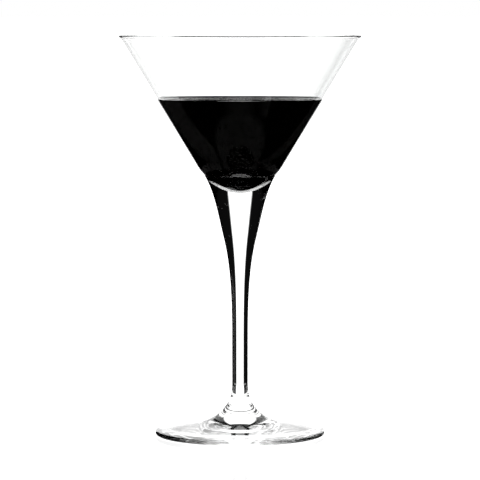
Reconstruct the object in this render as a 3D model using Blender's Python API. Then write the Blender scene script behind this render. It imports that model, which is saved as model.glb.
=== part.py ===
"""Martini glass: a blown bowl on a drawn stem and a round foot, with its drink.

Metres, +Z up. The origin is the centre of the plane that the foot stands on, and the
glass's axis is +Z. Every sub-part is a body of revolution about that axis. In the real
glass the bowl, the stem and the foot are fused face to face; here each is a solid of
its own, with a hairline gap at each fused face.
"""

import math

import bpy

# --- Driving dimensions, in metres -------------------------------------------------

GLASS_HEIGHT = 0.180
RIM_RADIUS = 0.0546
FOOT_RADIUS = 0.0383
FILL_LEVEL = 0.1506
FIT_GAP = 0.0003

WALL_HALF_ANGLE = math.radians(31.4)
WALL_THICKNESS = 0.0012
RIM_BEAD_RADIUS = 0.00075
BOWL_BASE_RADIUS = 0.0223
BOWL_FLOOR_HEIGHT = 0.1110
FLOOR_HANDLE = 0.0095
THICKENING_HEIGHT = 0.1460
THICKENING_HANDLE = 0.0130

STEM_LIP_RADIUS = 0.0162
STEM_LIP_THICKNESS = 0.0006
STEM_FLARE_RADIUS = 0.0076
STEM_FLARE_HEIGHT = 0.0900
STEM_FLARE_SLOPE = math.radians(-104)
STEM_WAIST_RADIUS = 0.0036
STEM_WAIST_TOP = 0.0440
STEM_WAIST_BOTTOM = 0.0240
STEM_BASE_RADIUS = 0.0069
STEM_BASE_HEIGHT = 0.0125
STEM_BASE_SLOPE = math.radians(-52)

BOSS_RADIUS = 0.0071
FOOT_SHOULDER_RADIUS = 0.0184
FOOT_SHOULDER_HEIGHT = 0.0054
FOOT_SHOULDER_SLOPE = math.radians(-12)
FOOT_EDGE_RADIUS = 0.0011
FOOT_EDGE_HEIGHT = 0.00125
FOOT_EDGE_START = math.radians(83)
FOOT_EDGE_END = math.radians(-62)
CONTACT_INNER_RADIUS = 0.0310
CONTACT_OUTER_RADIUS = 0.0364
PUNT_START_SLOPE = math.radians(172)
PUNT_FLAT_RADIUS = 0.0110
PUNT_HEIGHT = 0.0022

# Lengths of the handles that shape the curves between those points.
UPPER_FLARE_HANDLE = 0.0092
LOWER_FLARE_HANDLE = 0.0120
WAIST_TOP_HANDLE = 0.0220
WAIST_BOTTOM_HANDLE = 0.0060
BASE_HANDLE = 0.0032
SHOULDER_TOP_HANDLE = 0.0056
PLATE_HANDLE = 0.0060
PUNT_HANDLE = 0.0110

# Facets round each body, and along its curved stretches.
TURNS = 64
FINE_STEPS = 8
COARSE_STEPS = 5
MERGE_DISTANCE = 0.00002

# --- Colours ------------------------------------------------------------------------

CLEAR_GLASS = (0.93, 0.95, 0.95, 1.0)
BLACK_DRINK = (0.006, 0.005, 0.006, 1.0)
GLASS_IOR = 1.50
DRINK_IOR = 1.34

# --- Outline helpers ----------------------------------------------------------------
# An outline is a list of (radius, height) points. It starts on the axis at the body's
# top, runs down the body's outer side, and ends on the axis at the body's bottom.


def arc(centre, radius, start, end, steps):
    """Points on a circle about centre, from the angle start to the angle end."""
    angles = [start + (end - start) * i / steps for i in range(steps + 1)]
    return [(centre[0] + radius * math.cos(a), centre[1] + radius * math.sin(a)) for a in angles]


def bezier(start, start_handle, end_handle, end, steps):
    """Points on a cubic Bezier curve."""
    points = []
    for i in range(steps + 1):
        t = i / steps
        weights = ((1 - t) ** 3, 3 * t * (1 - t) ** 2, 3 * t * t * (1 - t), t ** 3)
        corners = (start, start_handle, end_handle, end)
        points.append(tuple(sum(w * p[axis] for w, p in zip(weights, corners)) for axis in (0, 1)))
    return points


def along(point, angle, distance):
    """The point that lies distance from point, at angle above the +radius direction."""
    return (point[0] + distance * math.cos(angle), point[1] + distance * math.sin(angle))


# --- Shape shared by the bowl, the stem and the drink -------------------------------

# The bowl's wall is a cone about a middle line that runs through the rim bead's centre.
# Outside, it ends in a rounded base: a sphere tangent to the wall, centred on the axis.
# Inside, the glass thickens below a certain height, and the floor is a narrower curve.
RIM_CENTRE = (RIM_RADIUS - RIM_BEAD_RADIUS, GLASS_HEIGHT - RIM_BEAD_RADIUS)
BASE_CENTRE_HEIGHT = RIM_CENTRE[1] - (
    (RIM_CENTRE[0] * math.cos(WALL_HALF_ANGLE) - BOWL_BASE_RADIUS + WALL_THICKNESS / 2)
    / math.sin(WALL_HALF_ANGLE)
)
BASE_CENTRE = (0.0, BASE_CENTRE_HEIGHT)
STRAIGHT_DOWN = math.radians(-90)
UP_THE_WALL = math.pi / 2 - WALL_HALF_ANGLE


def inner_wall_point(height, offset):
    """A point at a height on the inner wall, moved in by an offset square to the wall."""
    middle = RIM_CENTRE[0] - (RIM_CENTRE[1] - height) * math.tan(WALL_HALF_ANGLE)
    return (middle - (WALL_THICKNESS / 2 + offset) / math.cos(WALL_HALF_ANGLE), height)


def inner_floor_curve(offset):
    """The inside of the bowl from the axis out to where its wall becomes straight."""
    floor = (0.0, BOWL_FLOOR_HEIGHT + offset)
    wall = inner_wall_point(THICKENING_HEIGHT, offset)
    return bezier(
        floor,
        along(floor, 0.0, FLOOR_HANDLE - offset),
        along(wall, UP_THE_WALL, offset - THICKENING_HANDLE),
        wall,
        FINE_STEPS,
    )


# --- Outlines -----------------------------------------------------------------------


def bowl_outline():
    """Inner floor and wall, the fire-polished rim bead, then the outer wall and base."""
    wall_normal = -WALL_HALF_ANGLE
    half_wall = WALL_THICKNESS / 2
    bead_overlap = math.asin(half_wall / RIM_BEAD_RADIUS)
    bead_start = UP_THE_WALL + math.pi - bead_overlap
    bead_end = UP_THE_WALL - math.pi + bead_overlap
    rim_bead = arc(RIM_CENTRE, RIM_BEAD_RADIUS, bead_start, bead_end, FINE_STEPS)
    outer_base = arc(BASE_CENTRE, BOWL_BASE_RADIUS, wall_normal, STRAIGHT_DOWN, FINE_STEPS)
    return inner_floor_curve(0.0) + rim_bead + outer_base


def stem_outline():
    """The seat that holds the bowl's base, its lip, then the flare, waist and base."""
    seat_radius = BOWL_BASE_RADIUS + FIT_GAP
    lip_inner = STEM_LIP_RADIUS - STEM_LIP_THICKNESS
    lip_angle = -math.acos(lip_inner / seat_radius)
    lip_height = BASE_CENTRE_HEIGHT + seat_radius * math.sin(lip_angle)
    seat = arc(BASE_CENTRE, seat_radius, STRAIGHT_DOWN, lip_angle, FINE_STEPS)

    lip = (STEM_LIP_RADIUS, lip_height)
    flare = (STEM_FLARE_RADIUS, STEM_FLARE_HEIGHT)
    upper_flare = bezier(
        lip,
        along(lip, STRAIGHT_DOWN - WALL_HALF_ANGLE, UPPER_FLARE_HANDLE),
        along(flare, STEM_FLARE_SLOPE, -UPPER_FLARE_HANDLE),
        flare,
        FINE_STEPS,
    )
    waist_top = (STEM_WAIST_RADIUS, STEM_WAIST_TOP)
    lower_flare = bezier(
        flare,
        along(flare, STEM_FLARE_SLOPE, LOWER_FLARE_HANDLE),
        along(waist_top, STRAIGHT_DOWN, -WAIST_TOP_HANDLE),
        waist_top,
        FINE_STEPS,
    )
    waist_bottom = (STEM_WAIST_RADIUS, STEM_WAIST_BOTTOM)
    base = (STEM_BASE_RADIUS, STEM_BASE_HEIGHT)
    spread = bezier(
        waist_bottom,
        along(waist_bottom, STRAIGHT_DOWN, WAIST_BOTTOM_HANDLE),
        along(base, STEM_BASE_SLOPE, -BASE_HANDLE),
        base,
        COARSE_STEPS,
    )
    return seat + upper_flare + lower_flare[1:] + spread + [(0.0, STEM_BASE_HEIGHT)]


def foot_outline():
    """The boss under the stem, the shoulder, the rounded edge and the hollow underside."""
    boss_height = STEM_BASE_HEIGHT - FIT_GAP
    boss = (BOSS_RADIUS, boss_height)
    shoulder = (FOOT_SHOULDER_RADIUS, FOOT_SHOULDER_HEIGHT)
    rise = bezier(
        boss,
        along(boss, STEM_BASE_SLOPE, BASE_HANDLE),
        along(shoulder, FOOT_SHOULDER_SLOPE, -SHOULDER_TOP_HANDLE),
        shoulder,
        FINE_STEPS,
    )
    edge_centre = (FOOT_RADIUS - FOOT_EDGE_RADIUS, FOOT_EDGE_HEIGHT)
    edge = arc(edge_centre, FOOT_EDGE_RADIUS, FOOT_EDGE_START, FOOT_EDGE_END, COARSE_STEPS)
    plate = bezier(
        shoulder,
        along(shoulder, FOOT_SHOULDER_SLOPE, PLATE_HANDLE),
        along(edge[0], FOOT_EDGE_START - math.pi / 2, -PLATE_HANDLE),
        edge[0],
        COARSE_STEPS,
    )
    contact = [(CONTACT_OUTER_RADIUS, 0.0), (CONTACT_INNER_RADIUS, 0.0)]
    punt = bezier(
        contact[1],
        along(contact[1], PUNT_START_SLOPE, PUNT_HANDLE),
        (PUNT_FLAT_RADIUS, PUNT_HEIGHT),
        (0.0, PUNT_HEIGHT),
        COARSE_STEPS,
    )
    return [(0.0, boss_height)] + rise + plate[1:] + edge[1:] + contact + punt[1:]


def drink_outline():
    """A level surface, then the shape of the bowl's inside, clear of it by the fit gap."""
    surface_edge = inner_wall_point(FILL_LEVEL, FIT_GAP)
    underside = list(reversed(inner_floor_curve(FIT_GAP)))
    return [(0.0, FILL_LEVEL), surface_edge] + underside


# --- Objects ------------------------------------------------------------------------


def principled(name, colour, roughness, ior, transmission):
    """A material with one Principled BSDF."""
    material = bpy.data.materials.new(name)
    material.use_nodes = True
    shader = material.node_tree.nodes["Principled BSDF"]
    shader.inputs["Base Color"].default_value = colour
    shader.inputs["Roughness"].default_value = roughness
    shader.inputs["Metallic"].default_value = 0.0
    shader.inputs["IOR"].default_value = ior
    shader.inputs["Transmission Weight"].default_value = transmission
    return material


def turned_body(name, outline, material):
    """An object whose mesh is the outline, turned about the axis by a Screw modifier."""
    mesh = bpy.data.meshes.new(name)
    vertices = [(radius, 0.0, height) for radius, height in outline]
    edges = [(i, i + 1) for i in range(len(outline) - 1)]
    mesh.from_pydata(vertices, edges, [])
    mesh.materials.append(material)
    body = bpy.data.objects.new(name, mesh)
    bpy.context.scene.collection.objects.link(body)

    screw = body.modifiers.new("Turn", "SCREW")
    screw.axis = "Z"
    screw.angle = math.tau
    screw.steps = TURNS
    screw.render_steps = TURNS
    screw.use_merge_vertices = True
    screw.merge_threshold = MERGE_DISTANCE
    screw.use_smooth_shade = True
    return body


def clear_scene():
    for item in list(bpy.data.objects):
        bpy.data.objects.remove(item, do_unlink=True)


def build():
    clear_scene()
    bodies = (
        ("bowl", bowl_outline(), principled("bowl_glass", CLEAR_GLASS, 0.02, GLASS_IOR, 1.0)),
        ("stem", stem_outline(), principled("stem_glass", CLEAR_GLASS, 0.03, GLASS_IOR, 1.0)),
        ("foot", foot_outline(), principled("foot_glass", CLEAR_GLASS, 0.03, GLASS_IOR, 1.0)),
        ("drink", drink_outline(), principled("black_drink", BLACK_DRINK, 0.02, DRINK_IOR, 0.0)),
    )
    for name, outline, material in bodies:
        turned_body(name, outline, material)


build()
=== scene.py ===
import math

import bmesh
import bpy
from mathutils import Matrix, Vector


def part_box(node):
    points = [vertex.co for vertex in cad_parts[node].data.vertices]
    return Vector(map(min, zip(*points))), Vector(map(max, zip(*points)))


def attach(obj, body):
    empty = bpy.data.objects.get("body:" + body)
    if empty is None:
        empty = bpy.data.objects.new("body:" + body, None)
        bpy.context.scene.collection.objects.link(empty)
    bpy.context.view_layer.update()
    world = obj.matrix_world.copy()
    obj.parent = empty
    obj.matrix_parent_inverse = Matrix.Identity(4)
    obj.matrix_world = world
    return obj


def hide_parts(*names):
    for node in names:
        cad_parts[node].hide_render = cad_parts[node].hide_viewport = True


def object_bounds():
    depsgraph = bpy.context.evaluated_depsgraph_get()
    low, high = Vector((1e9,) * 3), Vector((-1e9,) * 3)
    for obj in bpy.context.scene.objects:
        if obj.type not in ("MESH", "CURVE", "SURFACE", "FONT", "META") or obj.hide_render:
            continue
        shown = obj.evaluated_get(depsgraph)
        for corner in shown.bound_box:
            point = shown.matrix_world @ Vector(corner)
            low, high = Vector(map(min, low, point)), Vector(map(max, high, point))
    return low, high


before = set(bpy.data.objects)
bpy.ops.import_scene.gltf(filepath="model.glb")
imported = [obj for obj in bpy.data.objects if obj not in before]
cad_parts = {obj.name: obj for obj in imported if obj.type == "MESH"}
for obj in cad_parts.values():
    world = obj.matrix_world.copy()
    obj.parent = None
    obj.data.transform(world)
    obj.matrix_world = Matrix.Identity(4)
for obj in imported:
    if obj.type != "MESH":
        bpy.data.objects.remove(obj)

# A martini glass with its black drink, on a white table in front of a lit backdrop.
#
# Metres, +Z up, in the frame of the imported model. Every piece is turned about the Z axis
# from an outline of (radius, height) points. The bowl, the stem and the foot share their
# weld faces exactly, and those faces are clear, so light crosses them as it does in
# glass that was fused hot. The drink reaches a hair into the bowl's wall, so that light in
# the glass meets the drink with no air between.

cad_low, cad_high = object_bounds()

MM = 0.001

# --- Sizes --------------------------------------------------------------------------

HEIGHT = cad_high.z
RIM_RADIUS = cad_high.x
FOOT_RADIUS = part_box("foot")[1].x
FILL_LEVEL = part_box("drink")[1].z
STEM_BASE_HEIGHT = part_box("stem")[0].z

HALF_ANGLE = math.radians(31.4)
WALL = 1.2 * MM
RIM_BEAD_RADIUS = 0.75 * MM
BOWL_BASE_RADIUS = 22.3 * MM
BOWL_FLOOR_HEIGHT = 111.0 * MM
FLOOR_HANDLE = 9.5 * MM
THICKENING_HEIGHT = 146.0 * MM
THICKENING_HANDLE = 13.0 * MM

LIP_RADIUS = 16.2 * MM
LIP_WIDTH = 0.1 * MM
FLARE_POINT = (7.6 * MM, 90.0 * MM)
FLARE_SLOPE = math.radians(-104)
WAIST_TOP = (3.6 * MM, 44.0 * MM)
WAIST_BOTTOM = (3.57 * MM, 24.0 * MM)
STEM_BASE_RADIUS = 6.9 * MM
BASE_SLOPE = math.radians(-52)
UPPER_FLARE_HANDLE = 9.2 * MM
LOWER_FLARE_HANDLE = 12.0 * MM
WAIST_TOP_HANDLE = 22.0 * MM
WAIST_BOTTOM_HANDLE = 6.0 * MM
BASE_HANDLE = 3.2 * MM

SHOULDER_POINT = (18.4 * MM, 5.4 * MM)
SHOULDER_SLOPE = math.radians(-12)
FOOT_EDGE_RADIUS = 1.1 * MM
FOOT_EDGE_HEIGHT = 1.25 * MM
FOOT_EDGE_START = math.radians(83)
FOOT_EDGE_END = math.radians(-62)
FOOT_EDGE_SLOPE = math.radians(-7)
CONTACT_OUTER = (36.4 * MM, 0.0)
CONTACT_INNER = (31.0 * MM, 0.0)
PUNT_RADIUS = 11.0 * MM
PUNT_HEIGHT = 2.2 * MM
PUNT_START_SLOPE = math.radians(172)
BOSS_HANDLE = 3.4 * MM
SHOULDER_TOP_HANDLE = 5.6 * MM
PLATE_HANDLE = 6.0 * MM
PUNT_HANDLE = 11.0 * MM

MENISCUS_HEIGHT = 1.2 * MM
MENISCUS_DECAY = 1.7 * MM
MENISCUS_REACH = 8.0 * MM
DRINK_OVERLAP = 0.05 * MM

# Facets round each piece, and points along its curves and across its flat faces.
TURNS = 256
CURVE_STEPS = 60
FOOT_CURVE_STEPS = 50
SEAT_STEPS = 40
SPREAD_STEPS = 40
BEAD_STEPS = 32
EDGE_STEPS = 30
MENISCUS_STEPS = 30
BASE_STEPS = 24
WAIST_STEPS = 20
SURFACE_STEPS = 12
WELD_STEPS = 10
CONTACT_STEPS = 6
LIP_STEPS = 3
LONG_WALL_SHARES = (0.0, 0.005, 0.02, 0.1, 0.3, 0.5, 0.7, 0.9, 0.98, 0.995, 1.0)
AXIS_RADIUS = 1e-7
SHARP_ANGLE = math.radians(35)
STRAIGHT_DOWN = math.radians(-90)
UP_THE_WALL = math.pi / 2 - HALF_ANGLE

# --- Looks --------------------------------------------------------------------------

GLASS_IOR = 1.5
DRINK_IOR = 1.33
GLASS_TINT = (0.985, 0.995, 0.99, 1)
FILM_ROUGHNESS = 0.012
DUST_ROUGHNESS = 0.03
DRINK_DARK = (0.0006, 0.0005, 0.0006, 1)
DRINK_WARM = (0.0022, 0.0016, 0.0015, 1)
DRINK_MIRROR = (0.45, 0.45, 0.45, 1)
WHITE = (1, 1, 1, 1)
BLACK = (0, 0, 0, 1)

# The waviness of each piece of glass: stretch along X, Y and Z, scale, and height.
BOWL_WAVES = ((1, 1, 0.35), 12.0, 0.012 * MM)
STEM_WAVES = ((1, 1, 0.12), 60.0, 0.006 * MM)
FOOT_WAVES = ((1, 1, 1), 25.0, 0.008 * MM)

# --- Studio -------------------------------------------------------------------------
# Azimuths run from +Y towards +X and elevations up from the horizon, both in degrees.

CAMERA_DISTANCE = 1.35
CAMERA_HEIGHT = 0.196
CAMERA_AIM_HEIGHT = 0.088
VIEW_HEIGHT = 0.215
SENSOR_WIDTH = 36.0

FLOOR_SIZE = 30.0
FLOOR_DEPTH = 0.1 * MM
FLOOR_GLOW = 0.93
FLOOR_ROUGHNESS = 0.08
FLOOR_IOR = 1.45

# Sheets and flags that only the glass sees. Each runs from one azimuth to another, between
# two edges given as (radius, height). The lit sheet under the foot makes it white. The
# black flags are painted shadow, dark sheets that stand in for the glass's shadow on the
# table: the low one round the foot draws the dark line of the foot's edge, and the tall
# ones behind it on both sides carry the stem's dark bands down to its base.
SHEET_LEVEL = -0.05 * MM
LIT_SHEETS = ((0, 360, (0.0, SHEET_LEVEL), (36.0 * MM, SHEET_LEVEL)),)
PAINTED_SHADOW_FLAGS = (
    (18, 342, (39.2 * MM, SHEET_LEVEL), (39.2 * MM, 2.0 * MM)),
    (18, 62, (39.3 * MM, SHEET_LEVEL), (39.3 * MM, 16.0 * MM)),
    (298, 342, (39.3 * MM, SHEET_LEVEL), (39.3 * MM, 16.0 * MM)),
)
SHEET_GLOW = 1.5
SHEET_STEPS = 96

# Windows of the room that the glass refracts, lit evenly and soft at their edges. The
# table window is the lit table far behind the glass.
WINDOW_GLOW = 1.6
TABLE_GLOW = 1.2
ROOM_GLOW = 0.004
SIDE_REFLECTION = 0.3
WINDOW_SOFTNESS = 2.0
BACK_WINDOW = {"azimuth": 0, "half_width": 18, "low": -64, "high": 32}
SIDE_WINDOW = {"azimuth": -90, "half_width": 18, "low": -12, "high": 32}
TABLE_WINDOW = {"azimuth": 0, "half_width": 36, "low": -64, "high": -10}
LOW_LEFT_WINDOW = {"azimuth": -45, "half_width": 20, "low": -60, "high": -12}
LOW_FRONT_WINDOW = {"azimuth": 135, "half_width": 20, "low": -60, "high": -8}
NADIR_EDGE = -64

# --- Outline helpers ----------------------------------------------------------------


def arc(centre, radius, start, end, steps):
    """Points on a circle about centre, from the angle start to the angle end."""
    angles = [start + (end - start) * i / steps for i in range(steps + 1)]
    return [(centre[0] + radius * math.cos(a), centre[1] + radius * math.sin(a)) for a in angles]


def bezier(start, start_handle, end_handle, end, steps):
    """Points on a cubic Bezier curve."""
    points = []
    for i in range(steps + 1):
        t = i / steps
        weights = ((1 - t) ** 3, 3 * t * (1 - t) ** 2, 3 * t * t * (1 - t), t ** 3)
        corners = (start, start_handle, end_handle, end)
        points.append(tuple(sum(w * p[axis] for w, p in zip(weights, corners)) for axis in (0, 1)))
    return points


def straight(start, end, steps):
    """Evenly spaced points on a line."""
    return [
        tuple(start[axis] + (end[axis] - start[axis]) * i / steps for axis in (0, 1))
        for i in range(steps + 1)
    ]


def long_wall(start, end):
    """A line with points close to its ends, so that shading bends only there."""
    return [
        tuple(start[axis] + (end[axis] - start[axis]) * share for axis in (0, 1))
        for share in LONG_WALL_SHARES
    ]


def along(point, angle, distance):
    """The point that lies distance from point, at angle above the +radius direction."""
    return (point[0] + distance * math.cos(angle), point[1] + distance * math.sin(angle))


# --- Shapes that more than one piece needs ------------------------------------------

RIM_CENTRE = (RIM_RADIUS - RIM_BEAD_RADIUS, HEIGHT - RIM_BEAD_RADIUS)
BASE_CENTRE = (
    0.0,
    RIM_CENTRE[1]
    - (RIM_CENTRE[0] * math.cos(HALF_ANGLE) - BOWL_BASE_RADIUS + WALL / 2) / math.sin(HALF_ANGLE),
)
LIP_ANGLE = -math.acos((LIP_RADIUS - LIP_WIDTH) / BOWL_BASE_RADIUS)


def inner_wall_point(height, offset=0.0):
    """A point at a height on the inner wall, moved in by an offset square to the wall."""
    middle = RIM_CENTRE[0] - (RIM_CENTRE[1] - height) * math.tan(HALF_ANGLE)
    return (middle - (WALL / 2 + offset) / math.cos(HALF_ANGLE), height)


def inner_floor(offset=0.0):
    """The inside of the bowl from the axis out to where its wall becomes straight."""
    floor = (0.0, BOWL_FLOOR_HEIGHT + offset)
    wall = inner_wall_point(THICKENING_HEIGHT, offset)
    return bezier(
        floor,
        along(floor, 0.0, FLOOR_HANDLE),
        along(wall, UP_THE_WALL, -THICKENING_HANDLE),
        wall,
        CURVE_STEPS,
    )


def bowl_seat():
    """The weld face between the bowl and the stem, from the axis out to the stem's lip."""
    return arc(BASE_CENTRE, BOWL_BASE_RADIUS, STRAIGHT_DOWN, LIP_ANGLE, SEAT_STEPS)


# --- Meshes -------------------------------------------------------------------------


def ring_of_vertices(mesh, radius, height):
    """A ring of vertices about the axis, or a single vertex on it."""
    if radius < AXIS_RADIUS:
        return [mesh.verts.new((0.0, 0.0, height))]
    angles = [math.tau * i / TURNS for i in range(TURNS)]
    return [mesh.verts.new((radius * math.cos(a), radius * math.sin(a), height)) for a in angles]


def turned(name, sections, materials):
    """A closed body turned about the axis.

    Each section is a list of outline points and a material index, and it starts at the
    point where the section before it ended.
    """
    outline = [(sections[0][0][0], sections[0][1])]
    for points, index in sections:
        outline += [(point, index) for point in points[1:]]
    mesh = bmesh.new()
    upper = None
    for (radius, height), index in outline:
        lower = ring_of_vertices(mesh, radius, height)
        if upper is not None:
            for i in range(TURNS):
                j = (i + 1) % TURNS
                corners = [upper[i % len(upper)], lower[i % len(lower)]]
                corners += [lower[j % len(lower)], upper[j % len(upper)]]
                face = mesh.faces.new(dict.fromkeys(corners))
                face.material_index = index
                face.smooth = True
        upper = lower
    data = bpy.data.meshes.new(name)
    mesh.to_mesh(data)
    mesh.free()
    data.set_sharp_from_angle(angle=SHARP_ANGLE)
    for material in materials:
        data.materials.append(material)
    piece = bpy.data.objects.new(name, data)
    bpy.context.scene.collection.objects.link(piece)
    return piece


def hand_over(piece, node):
    """Puts a finished piece in its CAD node's place."""
    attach(piece, "root")
    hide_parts(node)


# --- Materials ----------------------------------------------------------------------


def new_material(name):
    """An empty node material, with its output node."""
    material = bpy.data.materials.new(name)
    material.use_nodes = True
    tree = material.node_tree
    tree.nodes.clear()
    return material, tree, tree.nodes.new("ShaderNodeOutputMaterial")


def noise(tree, coordinates, scale, detail):
    """A noise texture's value over a coordinate socket."""
    node = tree.nodes.new("ShaderNodeTexNoise")
    node.inputs["Scale"].default_value = scale
    node.inputs["Detail"].default_value = detail
    tree.links.new(coordinates, node.inputs["Vector"])
    return node.outputs["Fac"]


def grey(level):
    """A colour with one level in all its channels."""
    return (level, level, level, 1)


def ramp(tree, value, low, high):
    """A colour or grey level that runs from low to high as value goes from 0.3 to 0.7."""
    node = tree.nodes.new("ShaderNodeValToRGB")
    node.color_ramp.elements[0].position = 0.3
    node.color_ramp.elements[0].color = low
    node.color_ramp.elements[1].position = 0.7
    node.color_ramp.elements[1].color = high
    tree.links.new(value, node.inputs["Fac"])
    return node.outputs["Color"]


def stretched_coordinates(tree, scale):
    """Object coordinates, scaled apart along X, Y and Z."""
    coordinates = tree.nodes.new("ShaderNodeTexCoord")
    mapping = tree.nodes.new("ShaderNodeMapping")
    mapping.inputs["Scale"].default_value = scale
    tree.links.new(coordinates.outputs["Object"], mapping.inputs["Vector"])
    return mapping.outputs["Vector"]


def clear_glass(name, stretch, wave_scale, wave_height):
    """Clear glass with a breath of tint, faint wipe marks, and the waviness of its making."""
    material, tree, output = new_material(name)
    shader = tree.nodes.new("ShaderNodeBsdfPrincipled")
    shader.inputs["IOR"].default_value = GLASS_IOR
    shader.inputs["Transmission Weight"].default_value = 1.0
    coordinates = stretched_coordinates(tree, stretch)
    tint = ramp(tree, noise(tree, coordinates, 30.0, 2.0), GLASS_TINT, WHITE)
    tree.links.new(tint, shader.inputs["Base Color"])
    film = ramp(tree, noise(tree, coordinates, 90.0, 5.0), BLACK, grey(FILM_ROUGHNESS))
    tree.links.new(film, shader.inputs["Roughness"])
    bump = tree.nodes.new("ShaderNodeBump")
    bump.inputs["Strength"].default_value = 1.0
    bump.inputs["Distance"].default_value = wave_height
    tree.links.new(noise(tree, coordinates, wave_scale, 1.0), bump.inputs["Height"])
    tree.links.new(bump.outputs["Normal"], shader.inputs["Normal"])
    tree.links.new(shader.outputs["BSDF"], output.inputs["Surface"])
    return material


def weld():
    """The clear face inside glass that was fused: light crosses it unchanged."""
    material, tree, output = new_material("clear_weld")
    shader = tree.nodes.new("ShaderNodeBsdfTransparent")
    tree.links.new(shader.outputs["BSDF"], output.inputs["Surface"])
    return material


def drink_colour(tree):
    """Near black, with a trace of warm brown in slow clouds."""
    clouds = noise(tree, stretched_coordinates(tree, (1, 1, 0.4)), 45.0, 3.0)
    return ramp(tree, clouds, DRINK_DARK, DRINK_WARM)


def drink_in_air():
    """The drink's open surface: still, black and glossy, with a trace of dust on it."""
    material, tree, output = new_material("drink_surface")
    shader = tree.nodes.new("ShaderNodeBsdfPrincipled")
    shader.inputs["IOR"].default_value = DRINK_IOR
    tree.links.new(drink_colour(tree), shader.inputs["Base Color"])
    dust = noise(tree, stretched_coordinates(tree, (1, 1, 1)), 160.0, 4.0)
    roughness = ramp(tree, dust, BLACK, grey(DUST_ROUGHNESS))
    tree.links.new(roughness, shader.inputs["Roughness"])
    tree.links.new(shader.outputs["BSDF"], output.inputs["Surface"])
    return material


def drink_on_glass():
    """The drink against the bowl. It mirrors the light in the glass that grazes it."""
    material, tree, output = new_material("drink_against_glass")
    body = tree.nodes.new("ShaderNodeBsdfDiffuse")
    tree.links.new(drink_colour(tree), body.inputs["Color"])
    mirror = tree.nodes.new("ShaderNodeBsdfGlossy")
    mirror.inputs["Color"].default_value = DRINK_MIRROR
    mirror.inputs["Roughness"].default_value = 0.0
    fresnel = tree.nodes.new("ShaderNodeFresnel")
    fresnel.inputs["IOR"].default_value = DRINK_IOR / GLASS_IOR
    mix = tree.nodes.new("ShaderNodeMixShader")
    tree.links.new(fresnel.outputs["Fac"], mix.inputs[0])
    tree.links.new(body.outputs["BSDF"], mix.inputs[1])
    tree.links.new(mirror.outputs["BSDF"], mix.inputs[2])
    tree.links.new(mix.outputs["Shader"], output.inputs["Surface"])
    return material


# --- Pieces -------------------------------------------------------------------------


def make_bowl(weld_face):
    """Inner floor and wall, the fire-polished rim bead, the outer wall and the seat."""
    overlap = math.asin(WALL / 2 / RIM_BEAD_RADIUS)
    bead_start = UP_THE_WALL + math.pi - overlap
    bead_end = UP_THE_WALL - math.pi + overlap
    floor = inner_floor()
    bead = arc(RIM_CENTRE, RIM_BEAD_RADIUS, bead_start, bead_end, BEAD_STEPS)
    base = arc(BASE_CENTRE, BOWL_BASE_RADIUS, -HALF_ANGLE, LIP_ANGLE, BASE_STEPS)
    sections = [
        (floor, 0),
        (long_wall(floor[-1], bead[0]), 0),
        (bead, 0),
        (long_wall(bead[-1], base[0]), 0),
        (base, 0),
        (list(reversed(bowl_seat())), 1),
    ]
    glass = clear_glass("bowl_glass", *BOWL_WAVES)
    piece = turned("bowl_glass", sections, [glass, weld_face])
    hand_over(piece, "bowl")


def make_stem(weld_face):
    """The seat, its lip, the long flare, the waist and the base that meets the foot."""
    seat = bowl_seat()
    lip = (LIP_RADIUS, seat[-1][1])
    base = (STEM_BASE_RADIUS, STEM_BASE_HEIGHT)
    upper_flare = bezier(
        lip,
        along(lip, STRAIGHT_DOWN - HALF_ANGLE, UPPER_FLARE_HANDLE),
        along(FLARE_POINT, FLARE_SLOPE, -UPPER_FLARE_HANDLE),
        FLARE_POINT,
        CURVE_STEPS,
    )
    lower_flare = bezier(
        FLARE_POINT,
        along(FLARE_POINT, FLARE_SLOPE, LOWER_FLARE_HANDLE),
        along(WAIST_TOP, STRAIGHT_DOWN, -WAIST_TOP_HANDLE),
        WAIST_TOP,
        CURVE_STEPS,
    )
    spread = bezier(
        WAIST_BOTTOM,
        along(WAIST_BOTTOM, STRAIGHT_DOWN, WAIST_BOTTOM_HANDLE),
        along(base, BASE_SLOPE, -BASE_HANDLE),
        base,
        SPREAD_STEPS,
    )
    sections = [
        (seat, 1),
        (straight(seat[-1], lip, LIP_STEPS), 0),
        (upper_flare, 0),
        (lower_flare, 0),
        (straight(WAIST_TOP, WAIST_BOTTOM, WAIST_STEPS), 0),
        (spread, 0),
        (straight(base, (0.0, STEM_BASE_HEIGHT), WELD_STEPS), 1),
    ]
    glass = clear_glass("stem_glass", *STEM_WAVES)
    piece = turned("stem_glass", sections, [glass, weld_face])
    hand_over(piece, "stem")


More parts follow.
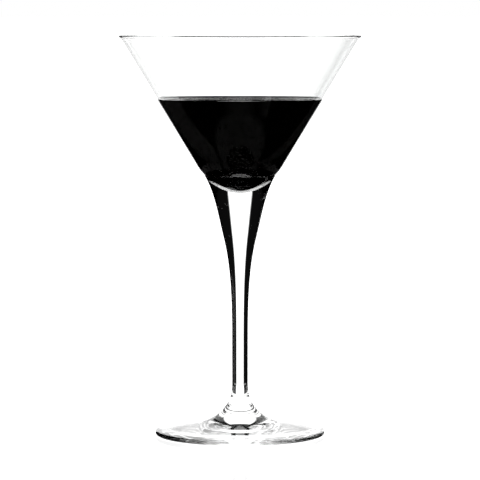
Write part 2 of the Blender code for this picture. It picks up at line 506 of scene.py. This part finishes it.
def make_foot(weld_face):
    """The boss under the stem, the shoulder, the rounded edge and the hollow underside."""
    boss = (STEM_BASE_RADIUS, STEM_BASE_HEIGHT)
    rise = bezier(
        boss,
        along(boss, BASE_SLOPE, BOSS_HANDLE),
        along(SHOULDER_POINT, SHOULDER_SLOPE, -SHOULDER_TOP_HANDLE),
        SHOULDER_POINT,
        FOOT_CURVE_STEPS,
    )
    edge_centre = (FOOT_RADIUS - FOOT_EDGE_RADIUS, FOOT_EDGE_HEIGHT)
    edge = arc(edge_centre, FOOT_EDGE_RADIUS, FOOT_EDGE_START, FOOT_EDGE_END, EDGE_STEPS)
    plate = bezier(
        SHOULDER_POINT,
        along(SHOULDER_POINT, SHOULDER_SLOPE, PLATE_HANDLE),
        along(edge[0], FOOT_EDGE_SLOPE, -PLATE_HANDLE),
        edge[0],
        FOOT_CURVE_STEPS,
    )
    punt = bezier(
        CONTACT_INNER,
        along(CONTACT_INNER, PUNT_START_SLOPE, PUNT_HANDLE),
        (PUNT_RADIUS, PUNT_HEIGHT),
        (0.0, PUNT_HEIGHT),
        FOOT_CURVE_STEPS,
    )
    sections = [
        (straight((0.0, STEM_BASE_HEIGHT), boss, WELD_STEPS), 1),
        (rise, 0),
        (plate, 0),
        (edge, 0),
        (straight(edge[-1], CONTACT_OUTER, CONTACT_STEPS), 0),
        (straight(CONTACT_OUTER, CONTACT_INNER, CONTACT_STEPS), 0),
        (punt, 0),
    ]
    glass = clear_glass("foot_glass", *FOOT_WAVES)
    piece = turned("foot_glass", sections, [glass, weld_face])
    hand_over(piece, "foot")


def make_drink():
    """The drink: a level surface that climbs the glass at its edge, and the bowl's inside."""
    edge_radius = inner_wall_point(FILL_LEVEL + MENISCUS_HEIGHT, -DRINK_OVERLAP)[0]
    meniscus = []
    for i in range(MENISCUS_STEPS + 1):
        gap = MENISCUS_REACH * (1 - i / MENISCUS_STEPS) ** 2
        climb = MENISCUS_HEIGHT * math.exp(-gap / MENISCUS_DECAY)
        meniscus.append((edge_radius - gap, FILL_LEVEL + climb))
    floor = list(reversed(inner_floor(-DRINK_OVERLAP)))
    sections = [
        (straight((0.0, meniscus[0][1]), meniscus[0], SURFACE_STEPS), 0),
        (meniscus, 0),
        (long_wall(meniscus[-1], floor[0]), 1),
        (floor, 1),
    ]
    piece = turned("drink_body", sections, [drink_in_air(), drink_on_glass()])
    hand_over(piece, "drink")


# --- Stage --------------------------------------------------------------------------


def stage_object(name, mesh, material):
    """A part of the stage."""
    mesh.materials.append(material)
    item = bpy.data.objects.new(name, mesh)
    bpy.context.scene.collection.objects.link(item)
    return item


def make_floor():
    """A white table top that shows a faint reflection, and fills the view to the horizon."""
    material, tree, output = new_material("white_table")
    shader = tree.nodes.new("ShaderNodeBsdfPrincipled")
    shader.inputs["Base Color"].default_value = BLACK
    shader.inputs["Roughness"].default_value = FLOOR_ROUGHNESS
    shader.inputs["IOR"].default_value = FLOOR_IOR
    shader.inputs["Emission Color"].default_value = WHITE
    shader.inputs["Emission Strength"].default_value = FLOOR_GLOW
    tree.links.new(shader.outputs["BSDF"], output.inputs["Surface"])
    mesh = bpy.data.meshes.new("floor")
    half, z = FLOOR_SIZE, -FLOOR_DEPTH
    corners = [(-half, -half, z), (half, -half, z), (half, half, z), (-half, half, z)]
    mesh.from_pydata(corners, [], [(0, 1, 2, 3)])
    floor = stage_object("floor", mesh, material)
    floor.visible_transmission = False
    floor.visible_glossy = False


def make_sheets(name, sheets, glow):
    """Sheets and flags of one brightness, seen only through the glass. The black ones are painted
    shadow.
    """
    material, tree, output = new_material(name)
    shader = tree.nodes.new("ShaderNodeEmission")
    shader.inputs["Strength"].default_value = glow
    tree.links.new(shader.outputs["Emission"], output.inputs["Surface"])
    for number, (start, end, *edges) in enumerate(sheets):
        corners = []
        for i in range(SHEET_STEPS + 1):
            azimuth = math.radians(start + (end - start) * i / SHEET_STEPS)
            corners += [(r * math.sin(azimuth), r * math.cos(azimuth), z) for r, z in edges]
        faces = [(2 * i, 2 * i + 1, 2 * i + 3, 2 * i + 2) for i in range(SHEET_STEPS)]
        mesh = bpy.data.meshes.new(f"{name}_{number}")
        mesh.from_pydata(corners, [], faces)
        sheet = stage_object(f"{name}_{number}", mesh, material)
        sheet.visible_camera = False
        sheet.visible_glossy = False


class WorldNodes:
    """Short names for the arithmetic in the world's node tree."""

    def __init__(self, tree):
        self.tree = tree

    def put(self, value, socket):
        if isinstance(value, (int, float)):
            socket.default_value = value
        else:
            self.tree.links.new(value, socket)

    def maths(self, operation, *values):
        node = self.tree.nodes.new("ShaderNodeMath")
        node.operation = operation
        for value, socket in zip(values, node.inputs):
            self.put(value, socket)
        return node.outputs[0]

    def step(self, value, edge):
        """A soft step from 0 to 1 as value passes edge."""
        node = self.tree.nodes.new("ShaderNodeMapRange")
        node.interpolation_type = "SMOOTHSTEP"
        self.put(value, node.inputs["Value"])
        node.inputs["From Min"].default_value = edge - WINDOW_SOFTNESS
        node.inputs["From Max"].default_value = edge + WINDOW_SOFTNESS
        return node.outputs["Result"]

    def window(self, azimuth, elevation, shape):
        """1 inside a window of the backdrop, and 0 outside it."""
        turn = self.maths("SUBTRACT", azimuth, shape["azimuth"])
        turn = self.maths("ABSOLUTE", self.maths("WRAP", turn, 180.0, -180.0))
        across = self.maths("SUBTRACT", 1.0, self.step(turn, shape["half_width"]))
        above = self.step(elevation, shape["low"])
        below = self.maths("SUBTRACT", 1.0, self.step(elevation, shape["high"]))
        return self.maths("MULTIPLY", across, self.maths("MULTIPLY", above, below))


def make_world():
    """A white backdrop, and the dark room with lit windows that the glass refracts."""
    world = bpy.data.worlds.new("studio")
    bpy.context.scene.world = world
    world.use_nodes = True
    tree = world.node_tree
    tree.nodes.clear()
    nodes = WorldNodes(tree)

    direction = tree.nodes.new("ShaderNodeTexCoord").outputs["Generated"]
    axes = tree.nodes.new("ShaderNodeSeparateXYZ")
    tree.links.new(direction, axes.inputs[0])
    to_degrees = 180 / math.pi
    azimuth = nodes.maths("ARCTAN2", axes.outputs["X"], axes.outputs["Y"])
    azimuth = nodes.maths("MULTIPLY", azimuth, to_degrees)
    elevation = nodes.maths("MULTIPLY", nodes.maths("ARCSINE", axes.outputs["Z"]), to_degrees)

    back = nodes.window(azimuth, elevation, BACK_WINDOW)
    side = nodes.window(azimuth, elevation, SIDE_WINDOW)
    room = nodes.maths("MAXIMUM", back, side)
    for shape in (LOW_LEFT_WINDOW, LOW_FRONT_WINDOW):
        room = nodes.maths("MAXIMUM", room, nodes.window(azimuth, elevation, shape))
    nadir = nodes.maths("SUBTRACT", 1.0, nodes.step(elevation, NADIR_EDGE))
    room = nodes.maths("MULTIPLY", nodes.maths("MAXIMUM", room, nadir), WINDOW_GLOW)
    table = nodes.maths("MULTIPLY", nodes.window(azimuth, elevation, TABLE_WINDOW), TABLE_GLOW)
    room = nodes.maths("MAXIMUM", room, table)
    room = nodes.maths("ADD", room, ROOM_GLOW)
    mirrored = nodes.maths("MAXIMUM", back, nodes.maths("MULTIPLY", side, SIDE_REFLECTION))
    mirrored = nodes.maths("MULTIPLY", mirrored, WINDOW_GLOW)

    path = tree.nodes.new("ShaderNodeLightPath")
    level = tree.nodes.new("ShaderNodeMix")
    level.data_type = "FLOAT"
    tree.links.new(path.outputs["Is Reflection Ray"], level.inputs["Factor"])
    tree.links.new(room, level.inputs["A"])
    tree.links.new(mirrored, level.inputs["B"])

    backdrop = tree.nodes.new("ShaderNodeBackground")
    backdrop.inputs["Color"].default_value = WHITE
    surroundings = tree.nodes.new("ShaderNodeBackground")
    surroundings.inputs["Color"].default_value = WHITE
    tree.links.new(level.outputs["Result"], surroundings.inputs["Strength"])
    mix = tree.nodes.new("ShaderNodeMixShader")
    tree.links.new(path.outputs["Is Camera Ray"], mix.inputs[0])
    tree.links.new(surroundings.outputs["Background"], mix.inputs[1])
    tree.links.new(backdrop.outputs["Background"], mix.inputs[2])
    output = tree.nodes.new("ShaderNodeOutputWorld")
    tree.links.new(mix.outputs["Shader"], output.inputs["Surface"])


def make_camera():
    """A long lens at the height of the rim, looking slightly down at the glass."""
    data = bpy.data.cameras.new("camera")
    camera = bpy.data.objects.new("camera", data)
    bpy.context.scene.collection.objects.link(camera)
    bpy.context.scene.camera = camera
    camera.location = (0.0, -CAMERA_DISTANCE, CAMERA_HEIGHT)
    towards_camera = camera.location - Vector((0.0, 0.0, CAMERA_AIM_HEIGHT))
    camera.rotation_mode = "QUATERNION"
    camera.rotation_quaternion = towards_camera.to_track_quat("Z", "Y")
    data.sensor_width = SENSOR_WIDTH
    data.lens = SENSOR_WIDTH * CAMERA_DISTANCE / VIEW_HEIGHT
    data.clip_start = 0.05
    data.clip_end = 100.0


def set_light_paths():
    """Enough bounces for light to get through the foot, and a plain view transform."""
    scene = bpy.context.scene
    scene.view_settings.view_transform = "Standard"
    scene.cycles.max_bounces = 32
    scene.cycles.transmission_bounces = 32
    scene.cycles.glossy_bounces = 16
    scene.cycles.transparent_max_bounces = 32


# --- Build --------------------------------------------------------------------------

weld_face = weld()
make_bowl(weld_face)
make_stem(weld_face)
make_foot(weld_face)
make_drink()
make_floor()
make_sheets("lit_sheet", LIT_SHEETS, SHEET_GLOW)
# The black flags are painted shadow: dark sheets where the glass's shadow would lie on the table.
make_sheets("painted_shadow_flag", PAINTED_SHADOW_FLAGS, 0.0)
make_world()
make_camera()
set_light_paths()
